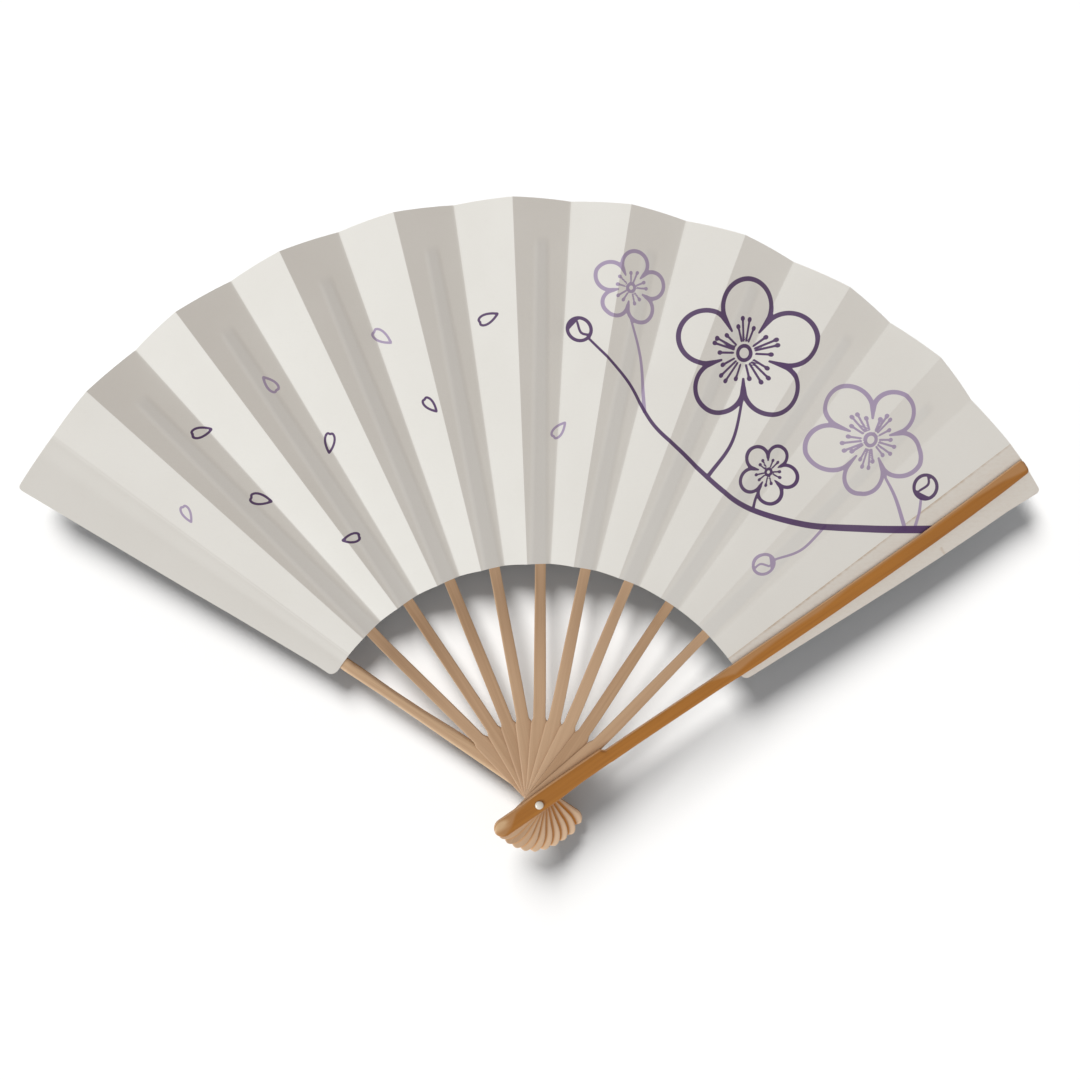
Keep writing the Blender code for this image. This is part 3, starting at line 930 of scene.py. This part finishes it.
def petal(centre, length, angle, line):
    """One loose petal: a drop that is round at one end, with a small notch, and pointed at the other."""
    turn = np.linspace(0, 2 * np.pi, 61)
    reach = 0.5 * length * (1 - 0.16 * np.exp(-((turn - np.pi) / 0.28) ** 2))
    x = -reach * np.cos(turn)
    y = 0.62 * reach * np.sin(turn) * np.sqrt(np.clip(0.5 + 0.5 * np.cos(turn - np.pi) + 0.02, 0, 1))
    return [turned_to(np.c_[x, y, np.full(turn.shape, line)], angle, centre)]


print("a line through 3 places is drawn with", len(curve([(0, 0), (1, 1), (2, 0)], [1, 1])), "points")

# %% [markdown]
# ## Composing the spray
# The branch comes out from under the front guard and climbs to the left across the folds, with a flower or
# a bud at the end of each twig. The loose petals drift away from it over the left panels.

# %% The two inks
FEW_STAMENS = ((-0.22, 0.42), (0.22, 0.38))
dark_strokes = [
    curve([(170, 117), (141, 117), (112, 119), (84, 128), (62, 147)], [1.7, 1.5, 1.3, 1.1, 0.9], 60),
    curve([(62, 147), (48, 160), (37, 178), (20, 196)], [0.9, 0.75, 0.65, 0.5]),
    curve([(71, 139), (81, 154), (86, 175)], [0.8, 0.65, 0.5]),
    curve([(91, 125), (92, 130), (94, 135)], [0.7, 0.5]),
    *blossom((86, 191), 30.0, 0.30, 1.0),
    *blossom((97, 141), 13.5, 1.05, 0.75, FEW_STAMENS),
    *bud((16, 200), 5.0, -0.75, 0.7),
    *bud((165, 135), 5.2, 1.1, 0.7),
]
light_strokes = [
    curve([(156, 117), (152, 131), (146, 143)], [0.9, 0.7, 0.5]),
    curve([(160, 117), (162, 124), (163, 130)], [0.7, 0.55]),
    curve([(44, 166), (42, 188), (36, 208)], [0.75, 0.6, 0.45]),
    curve([(122, 118), (112, 108), (100, 104)], [0.7, 0.5]),
    *blossom((139, 155), 25.0, 0.85, 0.95),
    *blossom((37, 217), 15.5, 0.15, 0.8, FEW_STAMENS),
    *bud((95, 102), 4.8, 3.35, 0.65),
]
DRIFT = [(8, 158, 8.0), (-22, 204, 8.5), (-46, 168, 7.5), (-66, 196, 9.0), (-88, 152, 8.5), (-79, 112, 7.5),
         (-112, 176, 8.0), (-117, 128, 9.0), (-141, 156, 8.5), (-147, 122, 7.5)]
for number, (x, y, length) in enumerate(DRIFT):
    ink = light_strokes if number % 3 == 0 else dark_strokes
    ink += petal((x, y), length, rng.uniform(0, 2 * np.pi), 0.5)
print("strokes:", len(dark_strokes), "dark,", len(light_strokes), "light")

# %% [markdown]
# ## From strokes to ink
# The paper's material has to know how far a point is from the ink. The distance to a whole drawing is the
# smallest of the distances to its straight bits, so it can be worked out for all the points of a panel at
# once. Strokes that lie too far from the panel are passed over.

# %% Distance to the nearest stroke
FAR_MM = 3.0


def stroke_distance(x, y, strokes):
    """Millimetres from each point to the nearest stroke's edge, below nought inside a stroke.

    For one straight bit from A to B the nearest point is A + t (B - A), where t is the share of the way
    along it, kept from 0 to 1. The stroke's half width there is taken off. The smallest result counts.
    """
    nearest = np.full(x.shape, FAR_MM)
    low = np.array([x.min(), y.min()]) - FAR_MM
    high = np.array([x.max(), y.max()]) + FAR_MM
    for stroke in strokes:
        if (stroke[:, :2].max(0) < low).any() or (stroke[:, :2].min(0) > high).any():
            continue
        ax, ay, aw = stroke[:-1].T
        dx, dy, dw = (stroke[1:] - stroke[:-1]).T
        px, py = x[..., None] - ax, y[..., None] - ay
        t = np.clip((px * dx + py * dy) / (dx * dx + dy * dy + 1e-12), 0, 1)
        distance = np.hypot(px - t * dx, py - t * dy) - (aw + t * dw)
        nearest = np.minimum(nearest, distance.min(-1))
    return nearest


bar = np.array([[-1.0, 0.0, 0.5], [1.0, 0.0, 0.5]])
print("2 mm beside a bar of half width 0.5 mm:", stroke_distance(np.zeros(1), np.full(1, 2.0), [bar]), "mm")

# %% [markdown]
# ## The leaf
# In the frame the leaf is 21 rigid panels, so here it is 21 pieces that meet along the shared fold lines,
# both when the fan lies open and when it is shut. A mountain fold is sharp and a valley fold a little
# rounder, as paper folded over a rib is. A panel on a rib is two plies with a pocket between them that is
# open towards the rivet, and the rib's slip makes a low ridge in it.

# %% The grid of one panel
ROWS, COLUMNS = 240, 49
INNER_CORNER, OUTER_CORNER = 0.0032, 0.0018
FOLD_REACH = 0.0007
FOLD_LIFT = 0.00009
OVERHANG = {
    0: np.array([[100.0, 110.0, 150.0, 175.0, 253.0], [2.0, 1.4, 1.35, 1.6, 1.6]]) / 1000,
    LAST: np.array([[100.0, 160.0, 180.0, 200.0, 220.0, 236.0], [2.05, 2.05, 1.95, 1.6, 0.9, 0.1]]) / 1000,
}


def between_directions(a, b, share):
    """Directions from a to b, evenly spread in angle: sin((1 - s) w) a + sin(s w) b, over sin w."""
    angle = math.acos(float(a @ b))
    s = share[:, None]
    return (np.sin((1 - s) * angle) * a + np.sin(s * angle) * b) / math.sin(angle)


def rounded_corner(from_edge, radius):
    """How far a round corner draws the cut edge back: r - sqrt(r^2 - (r - t)^2) at t from the free edge."""
    t = np.clip(from_edge, 0, radius)
    return radius - np.sqrt(radius**2 - (radius - t) ** 2)


def panel_surface(left, right, share, ease, free_share, overhang):
    """Points (rows, columns, 3) of the middle of the sheet, its unit normals and distances from the rivet.

    A point is the line's foot plus its distance from the rivet times its direction. The foot slides from
    the left line's to the right line's by ease(share), so a panel glued to a guard can stay flat.
    free_share is the share of the way from a free edge, or None where both edges are folds. The free edge
    is pushed out from its own line by the overhang, and the rest by a share that falls to 0 at the fold.
    """
    direction = between_directions(left[1], right[1], share)
    inner, outer = np.full(share.shape, LEAF_INNER), np.full(share.shape, LEAF_OUTER)
    if free_share is not None:
        angle = math.acos(float(left[1] @ right[1]))
        inner = inner + rounded_corner(free_share * angle * LEAF_INNER, INNER_CORNER)
        outer = outer - rounded_corner(free_share * angle * LEAF_OUTER, OUTER_CORNER)
    distance = inner + np.linspace(0, 1, ROWS)[:, None] * (outer - inner)
    foot = left[0] + ease(share)[:, None] * (right[0] - left[0])
    points = foot[None] + distance[..., None] * direction[None]
    if free_share is not None:
        outwards = np.cross(direction[0], UP) if free_share[-1] == 0 else np.cross(UP, direction[0])
        push = (1 - free_share) * np.interp(distance, *overhang)
        points = points + push[..., None] * outwards
    normal = np.cross(np.gradient(points, axis=0), np.gradient(points, axis=1))
    normal /= np.linalg.norm(normal, axis=-1, keepdims=True)
    return points, normal * np.sign(normal[..., 2:]), distance


def across_mm(points):
    """Distance across the panel from its left edge, in millimetres, at each point."""
    step = np.linalg.norm(np.diff(points, axis=1), axis=-1)
    return 1000 * np.concatenate([np.zeros((len(points), 1)), np.cumsum(step, axis=1)], axis=1)


def edge_normals(normal, left, right, folded):
    """At a fold both sheets use the same upright direction, so that their edges are the same points."""
    for column, line, is_fold in ((0, left, folded[0]), (-1, right, folded[1])):
        if is_fold:
            upright = UP - (UP @ line[1]) * line[1]
            normal[:, column] = upright / np.linalg.norm(upright)
    return normal


print("the middle of a sheet has", ROWS * COLUMNS, "points")

# %% [markdown]
# ## Thickness, ridge and pocket
# The middle surface gets half of the paper's thickness on each side, and more over the slip, whose ridge
# shows through. The pocket is a real slot between the plies, because its mouth can be seen where the rib
# enters the leaf. Its side seams and its far end are shared points, so the body stays closed.

# %% Ridge, pocket and cut edges
THICKNESS = 0.0003
POCKET_HALF, POCKET_FAR_HALF, POCKET_RISE = 3.35, 2.2, 0.00020
POCKET_END = SLIP_END + 0.0004
POCKET_NARROWING = [[101.5, 235.0], [1.0, POCKET_FAR_HALF / POCKET_HALF]]
RIDGE_HALF = [[101.5, 108.0, 1000 * SLIP_END], [2.8, 2.6, 1.6]]
RIDGE_FLANK, RIDGE_HEIGHT = 2.3, 0.00014


def slip_ridge(along_mm, from_middle_mm, width_mm):
    """1 over the slip, falling smoothly to 0 beside it and past its end, and 0 at the folds."""
    half = np.interp(along_mm, *RIDGE_HALF)
    beside = 1 - smoothstep(half - 0.3, half + RIDGE_FLANK, np.abs(from_middle_mm))
    beside = beside * (1 - smoothstep(0.70, 0.98, np.abs(from_middle_mm) / (width_mm / 2)))
    return beside * (1 - smoothstep(1000 * SLIP_END - 1.0, 1000 * SLIP_END + 4.0, along_mm))


def across_to_point(points, measured, wanted):
    """Slides along each row to the places that lie at the wanted distances across: linear interpolation."""
    rows = np.arange(len(points))[:, None]
    index = np.array([np.searchsorted(m, w) for m, w in zip(measured, wanted)])
    index = np.clip(index, 1, measured.shape[1] - 1)
    low, high = measured[rows, index - 1], measured[rows, index]
    t = ((wanted - low) / (high - low))[..., None]
    return points[rows, index - 1] * (1 - t) + points[rows, index] * t


def pocket_points(points, normal, distance, from_middle):
    """The pocket's first and last column, its upper face and the part of its lower face that is its own.

    Every row has the spread of the first one, narrowed towards the far end, so the seams run straight. The
    faces bulge by 1 - t^6 of the pocket's rise, where t runs from 0 in the middle to 1 at the seams.
    """
    columns = np.flatnonzero(np.abs(from_middle[0]) < POCKET_HALF)
    first, last = int(columns[0]), int(columns[-1])
    rows = int(np.searchsorted(distance[:, 0], POCKET_END)) + 1
    mouth = from_middle[:1, first : last + 1]
    narrowed = np.interp(1000 * distance[:rows, :1], *POCKET_NARROWING)
    middle = across_to_point(points[:rows], from_middle[:rows], narrowed * mouth)
    bulge = POCKET_RISE * np.clip(1 - (mouth / np.abs(mouth[0, 0])) ** 6, 0, 1) * np.ones((rows, 1))
    bulge[-1] = 0
    lift = bulge[..., None] * normal[:rows, first : last + 1]
    return (first, last), middle + lift, (middle - lift)[:-1, 1:-1]


def pocket_faces(inside, rows):
    """Joins the sheet's inner edge to the pocket between its plies.

    It returns the faces that replace the straight wall between the two columns of inside, which are the
    cut edges of the two plies and the two inner faces, and the numbers of the two seams' first points. The
    pocket's points are numbered on from the two faces of the sheet.
    """
    count = inside[1] - inside[0] + 1
    first = 2 * ROWS * COLUMNS
    upper = first + np.arange(rows * count).reshape(rows, count)
    lower = upper.copy()
    own = np.arange((rows - 1) * (count - 2)).reshape(rows - 1, count - 2)
    lower[:-1, 1:-1] = first + rows * count + own
    top_edge = np.arange(inside[0], inside[1] + 1)
    bottom_edge = ROWS * COLUMNS + top_edge

    def strip(a, b, c, d):
        return np.stack([a, b, c, d], -1).reshape(-1, 4).tolist()

    faces = strip(top_edge[1:], top_edge[:-1], upper[0, :-1], upper[0, 1:])
    faces += strip(bottom_edge[:-1], bottom_edge[1:], lower[0, 1:], lower[0, :-1])
    faces += strip(upper[:-1, 1:], upper[:-1, :-1], upper[1:, :-1], upper[1:, 1:])
    faces += strip(lower[:-1, :-1], lower[:-1, 1:], lower[1:, 1:], lower[1:, :-1])
    return faces, (int(upper[0, 0]), int(upper[0, -1]))


def wall_faces(inside, seams):
    """The four cut edges of the sheet, from the upper grid to the lower one.

    The inner edge leaves out the columns of the pocket, and the faces beside it take in its seam points.
    """
    top = np.arange(ROWS * COLUMNS).reshape(ROWS, COLUMNS)
    low = top + ROWS * COLUMNS
    faces = []
    for a, b in ((top[:, 0], low[:, 0]), (top[:, -1][::-1], low[:, -1][::-1]), (top[-1], low[-1])):
        faces += np.stack([a[:-1], a[1:], b[1:], b[:-1]], -1).tolist()
    a, b = top[0][::-1], low[0][::-1]
    inner = np.stack([a[:-1], a[1:], b[1:], b[:-1]], -1).tolist()
    if inside is None:
        return faces + inner
    kept = [face for face in inner if not inside[0] <= min(face[0], face[1]) < inside[1]]
    for face in kept:
        if face[1] == inside[1]:
            face.insert(2, seams[1])
        if face[0] == inside[0]:
            face.append(seams[0])
    return faces + kept


# %% [markdown]
# ## What the paper remembers
# The drawing, the ridge and the glue are kept as numbers at the points of the sheet's upper face, for the
# paper's material to read. The last panel, beside the front guard, is a little browner all over, with
# darker smears along its fold, and one short crease whose shade is painted as a thin darker line.

# %% Marks on a panel
CREASE_PLACE, CREASE_WIDTH = 203.5, 0.45
PANEL_BROWN = 0.33


def smears(along_mm):
    """Where the glue line is darkest: a few short smears, each a bell curve about its own place."""
    places, lengths = np.array([128.0, 148.0, 176.0, 214.0]), np.array([5.0, 9.0, 6.0, 12.0])
    return np.clip(np.exp(-(((along_mm[..., None] - places) / lengths) ** 2)).sum(-1), 0, 1)


def paint_panel(piece, top, ridge, distance, across, stain):
    """The attributes that the paper reads. The drawing is only on the upper face."""
    count = len(piece.data.vertices)
    upper = ROWS * COLUMNS
    for name, strokes in (("ink_dark", dark_strokes), ("ink_light", light_strokes)):
        values = np.full(count, FAR_MM)
        values[:upper] = stroke_distance(1000 * top[..., 0], 1000 * top[..., 1], strokes).ravel()
        add_attribute(piece, name, values)
    marks = {name: np.zeros(count) for name in ("slip", "stain", "glue", "from_fold_mm")}
    marks["slip"][:upper] = ridge.ravel()
    if stain:
        along = 1000 * distance
        # The crease is painted shade: a thin darker line across the paper, which stays flat there.
        crease_shade = 0.5 * np.exp(-(((along - CREASE_PLACE) / CREASE_WIDTH) ** 2))
        crease_shade = crease_shade * smoothstep(0.80, 0.84, across / across[:, -1:])
        marks["stain"][:upper] = np.clip(crease_shade + PANEL_BROWN, 0, 1).ravel()
        marks["glue"][:upper] = (0.35 + 0.5 * smears(along)).ravel()
        marks["from_fold_mm"][:upper] = across.ravel()
    for name, values in marks.items():
        add_attribute(piece, name, values)


print("smears at 128 and 140 mm:", smears(np.array([128.0, 140.0])).round(2).tolist())

# %% [markdown]
# ## One panel
# A panel is made from its two edge lines. Its faces are the sheet's two sides, the cut edges and, on a rib,
# the pocket. The foot of a plane panel's line slides evenly from one edge to the other. That of an end
# panel rests until the guard is passed, so the panel lies flat on the guard.

# %% One panel
CROWDED, CROWDED_SHARE = 17, 0.16


def even(share):
    return share


def flat_at_left(share):
    return smoothstep(0.6, 1.0, share)


def flat_at_right(share):
    return smoothstep(0.0, 0.4, share)


def column_shares(folded):
    """Shares of the way across at the columns, and of the way from the free edge, or None without one.

    Between two folds the columns are even. Beside a free edge they crowd, to draw its round corners.
    """
    if all(folded):
        return np.linspace(0, 1, COLUMNS), None
    crowded = np.linspace(0, CROWDED_SHARE, CROWDED)
    shares = np.concatenate([crowded, np.linspace(CROWDED_SHARE, 1, COLUMNS - CROWDED + 1)[1:]])
    share = 1 - shares[::-1] if folded[0] else shares
    return share, 1 - share if folded[0] else share


def make_panel(name, left, right, body, node, seed, folded=(True, True), ease=even, valley="right",
               slip=False, stain=False, overhang=None):
    """One panel: the middle sheet, lifted by waves and the fold, with half the thickness on each side."""
    share, free_share = column_shares(folded)
    points, normal, distance = panel_surface(left, right, share, ease, free_share, overhang)
    normal = edge_normals(normal, left, right, folded)
    across = across_mm(points)
    width = across[:, -1:]
    to_valley = width - across if valley == "right" else across
    points = points + waves(seed, 1000 * distance, share)[..., None] * normal
    points = points + (FOLD_LIFT * np.clip(1 - to_valley / (1000 * FOLD_REACH), 0, 1) ** 2)[..., None] * UP
    from_middle = across - width / 2
    ridge = slip_ridge(1000 * distance, from_middle, width) if slip else np.zeros_like(across)
    half = THICKNESS / 2 + RIDGE_HEIGHT * ridge
    top, bottom = points + half[..., None] * normal, points - half[..., None] * normal
    faces = grid_quads(ROWS, COLUMNS).tolist()
    faces += grid_quads(ROWS, COLUMNS, first=ROWS * COLUMNS)[:, ::-1].tolist()
    clouds, inside, seams = [top, bottom], None, None
    if slip:
        inside, roof, floor = pocket_points(points, normal, distance, from_middle)
        inner_faces, seams = pocket_faces(inside, len(roof))
        faces += inner_faces
        clouds += [roof, floor]
    faces += wall_faces(inside, seams)
    piece = new_piece(name, np.concatenate([cloud.reshape(-1, 3) for cloud in clouds]), faces, 30.0)
    paint_panel(piece, top, ridge, distance, across, stain)
    piece.data.materials.append(PAPER)
    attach(piece, body)
    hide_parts(node)
    return piece


print("beside a free edge the columns start", round(100 * column_shares((True, False))[1][-2], 1), "% apart")

# %% [markdown]
# ## The whole leaf
# From left to right the leaf is a panel on a stick, a free panel, the next stick's panel and so on. The two
# end panels belong to the guards' bodies, and each of the others has a body of its own.

# %% All the panels


def stick_panel(k):
    """The panel on stick k. The two end panels lie flat on their guards and turn towards their one fold."""
    left = fold(k, 1) if k > 0 else free_edge(k, 1)
    right = fold(k, -1) if k < LAST else free_edge(k, -1)
    body, node, ease = f"stick_panel_{k:02d}", f"leaf_stick_panel_{k:02d}", even
    if k == 0:
        body, node, ease = "rear_guard", "leaf_rear_end_panel", flat_at_left
    if k == LAST:
        body, node, ease = "front_guard", "leaf_front_end_panel", flat_at_right
    return make_panel(f"leaf_on_stick_{k:02d}", left, right, body, node, 10 + k, (k > 0, k < LAST), ease,
                      slip=not is_guard(k), stain=k == LAST, overhang=OVERHANG.get(k))


def free_panel(k):
    """The panel between sticks k and k + 1, from the valley fold of one to the mountain fold of the other."""
    body, node = f"free_panel_{k:02d}", f"leaf_free_panel_{k:02d}"
    return make_panel(f"leaf_free_{k:02d}", fold(k, -1), fold(k + 1, 1), body, node, 40 + k, valley="left")


panels = [stick_panel(0)]
for k in range(LAST):
    panels += [free_panel(k), stick_panel(k + 1)]
print(len(panels), "panels")

# %% [markdown]
# ## The table
# The shadow in the photograph is equally wide all round the fan, as if the fan hung a little over its
# table. So the table lies 5 mm under the rivet's end and leans by two degrees. The sticks are stacked, so
# the front guard's side stands higher, and the lean keeps the leaf's distance to the table even. The
# table's cool grey comes out white under its own warm lamp.

# %% Table
TABLE_DEPTH, TABLE_SLOPES = -0.0050, np.array([0.0385, 0.0124])
TABLE_GREY = (0.56, 0.62, 0.68)
TABLE_HALF = 2.0


def make_table():
    corners = TABLE_HALF * np.array([[-1.0, -1.0], [1.0, -1.0], [1.0, 1.0], [-1.0, 1.0]])
    heights = TABLE_DEPTH + corners @ TABLE_SLOPES
    table = new_piece("table", np.c_[corners, heights], [[0, 1, 2, 3]])
    finish = Finish("table", roughness=0.9, Specular_IOR_Level=0.0)
    finish.shader.inputs["Base Color"].default_value = (*TABLE_GREY, 1.0)
    table.data.materials.append(finish.material)
    return table


table = make_table()
print("the table leans", np.degrees(np.arctan(TABLE_SLOPES)).round(1).tolist(), "degrees along X and Y")

# %% [markdown]
# ## Two lamps
# One soft lamp from the lower left shapes the pleats. A second lamp from the upper left is linked to the
# table alone, where it draws the soft shadow to the lower right. The photograph's shadow doesn't follow the
# light on the pleats, so one lamp can't give both.

# %% Lamps
KEY_STRENGTH, KEY_SOFTNESS, KEY_COLOUR = 2.2, 30, (0.94, 1.0, 1.03)
KEY_DIRECTION = (0.66, 0.50, -0.56)
TABLE_STRENGTH, TABLE_SOFTNESS, TABLE_COLOUR = 6.82, 25, (1.063, 0.95, 0.851)
TABLE_DIRECTION = (0.361, -0.718, -0.595)


def sun(name, direction, strength, softness, colour):
    """A sun that shines along direction, with the given angle of softness in degrees."""
    data = bpy.data.lights.new(name, "SUN")
    data.energy, data.angle, data.color = strength, math.radians(softness), colour
    lamp = bpy.data.objects.new(name, data)
    lamp.rotation_mode = "QUATERNION"
    vector = np.array(direction, float)
    z = -vector / np.linalg.norm(vector)
    x = np.cross([0.0, 1.0, 0.0], z)
    x /= np.linalg.norm(x)
    y = np.cross(z, x)
    basis = np.eye(4)
    basis[:3, :3] = np.stack([x, y, z], 1)
    lamp.matrix_world = basis.T
    bpy.context.scene.collection.objects.link(lamp)
    return lamp


def only_for(lamp, name, obj, state):
    """Light linking: the lamp reaches obj alone (INCLUDE), or everything but obj (EXCLUDE)."""
    group = bpy.data.collections.new(name)
    group.objects.link(obj)
    lamp.light_linking.receiver_collection = group
    group.collection_objects[0].light_linking.link_state = state


key = sun("key", KEY_DIRECTION, KEY_STRENGTH, KEY_SOFTNESS, KEY_COLOUR)
only_for(key, "not the table", table, "EXCLUDE")
table_lamp = sun("table lamp", TABLE_DIRECTION, TABLE_STRENGTH, TABLE_SOFTNESS, TABLE_COLOUR)
only_for(table_lamp, "the table", table, "INCLUDE")
print("lamps:", key.name, "and", table_lamp.name)

# %% [markdown]
# ## The sky
# A warm, even sky fills the pleats. To the camera and in reflections it is pure white, so the background
# stays white whatever the sky's own tone is.

# %% Sky
SKY = (0.455, 0.408, 0.374)
WHITE = (1.0, 1.0, 1.0)


def make_sky():
    """One warm tone that lights the object, and pure white where the camera or a reflection sees the sky."""
    world = bpy.data.worlds.new("sky")
    world.use_nodes = True
    bpy.context.scene.world = world
    sky = Nodes(world.node_tree)
    seen = sky.node("LightPath", {}, out="Is Camera Ray")
    for ray in ("Is Glossy Ray", "Is Transmission Ray"):
        seen = sky.maths("MAXIMUM", seen, sky.node("LightPath", {}, out=ray))
    own, white = (sky.node("Background", {}, (*colour, 1.0)) for colour in (SKY, WHITE))
    mixed = sky.node("MixShader", {}, seen, own, white)
    sky.tree.links.new(mixed.socket, sky.tree.nodes["World Output"].inputs["Surface"])
    sky.tree.nodes.remove(sky.tree.nodes["Background"])


make_sky()
bpy.context.scene.view_settings.view_transform = "Standard"
print("sky:", bpy.context.scene.world.name)
